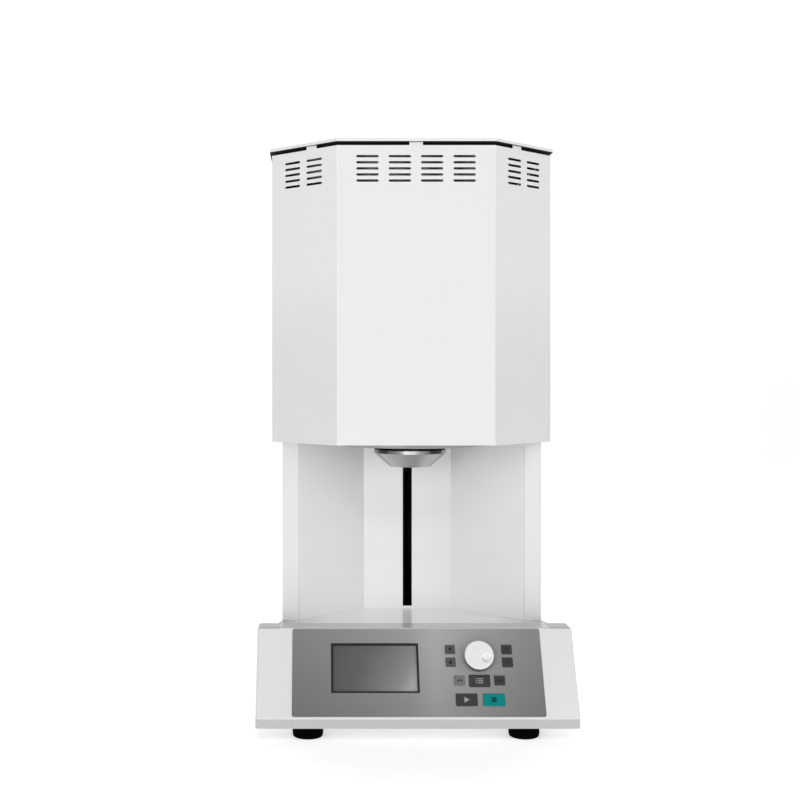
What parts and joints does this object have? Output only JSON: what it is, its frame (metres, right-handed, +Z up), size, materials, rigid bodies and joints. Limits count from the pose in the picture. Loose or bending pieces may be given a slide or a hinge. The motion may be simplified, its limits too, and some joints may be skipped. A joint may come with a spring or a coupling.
{
  "type": "dental lab furnace",
  "caption": "White bench furnace with a bottom-loading lift table under a chamfered housing, a recessed column with a lift slot, and a sloped console with screen, knob and keys.",
  "frame": {"origin": "centre of the bounding box's bottom face, on the table between the feet", "axes": "+X to the user's right, +Y to the back, +Z up; the control face looks towards -Y"},
  "size_m": [0.404, 0.4298, 0.757],
  "materials": {
    "white_paint": "white powder coat, fine texture",
    "zinc_steel": "zinc plated",
    "flange_steel": "bead blasted",
    "ceramic_fibre": "fibrous, matte",
    "element_rod": "glazed grey",
    "aluminium": "satin",
    "probe_ceramic": "matte",
    "seal_black": "matte",
    "table_metal": "turned",
    "tray_ceramic": "matte",
    "black_metal": "black coated",
    "bronze": "machined",
    "polished_steel": "ground",
    "panel_grey": "satin grey foil",
    "screen_frame": "gloss",
    "screen_glass": "gloss",
    "key_dark": "matte",
    "key_mid": "matte",
    "key_grey": "matte",
    "key_teal": "matte",
    "knob_white": "satin",
    "black_plastic": "matte",
    "board_green": "solder mask",
    "core_steel": "varnished laminations",
    "black_rubber": "matte"
  },
  "bodies": {
    "root": {"base_plate": "zinc_steel", "chamber_insulation": "ceramic_fibre", "column_front": "white_paint", "console_shell": "white_paint", "control_board": "board_green", "cover_screws": "zinc_steel", "element_clamps": "aluminium", "encoder_body": "black_plastic", "fan_frame": "black_plastic", "fan_guard": "zinc_steel", "foot_screws": "zinc_steel", "guide_rods": "polished_steel", "heating_elements": "element_rod", "housing_floor": "zinc_steel", "housing_rear_panel": "white_paint", "housing_shell": "white_paint", "keypad_board": "board_green", "lcd_module": "screen_frame", "lcd_window": "screen_glass", "left_side_cover": "white_paint", "lid_plate": "white_paint", "lift_frame": "zinc_steel", "lower_insulation": "ceramic_fibre", "muffle_can": "zinc_steel", "muffle_flange": "flange_steel", "panel_overlay": "panel_grey", "power_inlet": "black_plastic", "rear_cover": "white_paint", "right_side_cover": "white_paint", "rubber_feet": "black_rubber", "screw_bearings": "zinc_steel", "stepper_motor": "black_metal", "switch_body": "black_plastic", "thermocouple": "probe_ceramic", "transformer": "core_steel", "upper_insulation": "ceramic_fibre"},
    "lift": {"lift_table": "table_metal", "seal_ring": "seal_black", "pedestal_block": "ceramic_fibre", "firing_tray": "tray_ceramic", "lift_arm": "black_metal", "lift_carriage": "black_metal", "lead_nut": "black_plastic", "guide_bushes": "bronze"},
    "screw": {"lead_screw": "polished_steel", "shaft_coupling": "aluminium", "motor_shaft": "polished_steel"},
    "knob_body": {"knob": "knob_white", "encoder_shaft": "polished_steel"},
    "rocker_body": {"switch_rocker": "black_plastic"},
    "fan_body": {"fan_rotor": "black_plastic"},
    "key_down_left_body": {"key_down_left": "key_mid"},
    "key_down_right_body": {"key_down_right": "key_dark"},
    "key_minus_body": {"key_minus": "key_grey"},
    "key_plus_body": {"key_plus": "key_dark"},
    "key_program_body": {"key_program": "key_dark"},
    "key_start_body": {"key_start": "key_dark"},
    "key_stop_body": {"key_stop": "key_teal"},
    "key_up_left_body": {"key_up_left": "key_mid"},
    "key_up_right_body": {"key_up_right": "key_dark"}
  },
  "joints": [
    {"name": "lift_travel", "type": "slide", "parent": "root", "child": "lift", "axis": [0, 0, 1], "range_m": [-0.19, 0]},
    {"name": "screw_turn", "type": "hinge", "parent": "root", "child": "screw", "pos_m": [0, 0.045, 0.2], "axis": [0, 0, 1], "continuous": true},
    {"name": "knob_turn", "type": "hinge", "parent": "root", "child": "knob_body", "pos_m": [0.0793, -0.17635, 0.09864], "axis": [0, -0.8689, 0.495], "continuous": true},
    {"name": "rocker_tip", "type": "hinge", "parent": "root", "child": "rocker_body", "pos_m": [-0.118, 0.204, 0.112], "axis": [1, 0, 0], "range_deg": [0, 20]},
    {"name": "fan_spin", "type": "hinge", "parent": "root", "child": "fan_body", "pos_m": [0.098, 0.197, 0.095], "axis": [0, 1, 0], "continuous": true},
    {"name": "key_down_left_press", "type": "slide", "parent": "root", "child": "key_down_left_body", "axis": [0, 0.8689, -0.495], "range_m": [0, 0.0008], "stiffness_N_per_m": 500},
    {"name": "key_down_right_press", "type": "slide", "parent": "root", "child": "key_down_right_body", "axis": [0, 0.8689, -0.495], "range_m": [0, 0.0008], "stiffness_N_per_m": 500},
    {"name": "key_minus_press", "type": "slide", "parent": "root", "child": "key_minus_body", "axis": [0, 0.8689, -0.495], "range_m": [0, 0.0008], "stiffness_N_per_m": 500},
    {"name": "key_plus_press", "type": "slide", "parent": "root", "child": "key_plus_body", "axis": [0, 0.8689, -0.495], "range_m": [0, 0.0008], "stiffness_N_per_m": 500},
    {"name": "key_program_press", "type": "slide", "parent": "root", "child": "key_program_body", "axis": [0, 0.8689, -0.495], "range_m": [0, 0.0008], "stiffness_N_per_m": 500},
    {"name": "key_start_press", "type": "slide", "parent": "root", "child": "key_start_body", "axis": [0, 0.8689, -0.495], "range_m": [0, 0.0008], "stiffness_N_per_m": 500},
    {"name": "key_stop_press", "type": "slide", "parent": "root", "child": "key_stop_body", "axis": [0, 0.8689, -0.495], "range_m": [0, 0.0008], "stiffness_N_per_m": 500},
    {"name": "key_up_left_press", "type": "slide", "parent": "root", "child": "key_up_left_body", "axis": [0, 0.8689, -0.495], "range_m": [0, 0.0008], "stiffness_N_per_m": 500},
    {"name": "key_up_right_press", "type": "slide", "parent": "root", "child": "key_up_right_body", "axis": [0, 0.8689, -0.495], "range_m": [0, 0.0008], "stiffness_N_per_m": 500}
  ],
  "couplings": [
    {"joint": "screw_turn", "follows": "lift_travel", "rad_per_m": -628.32}
  ]
}
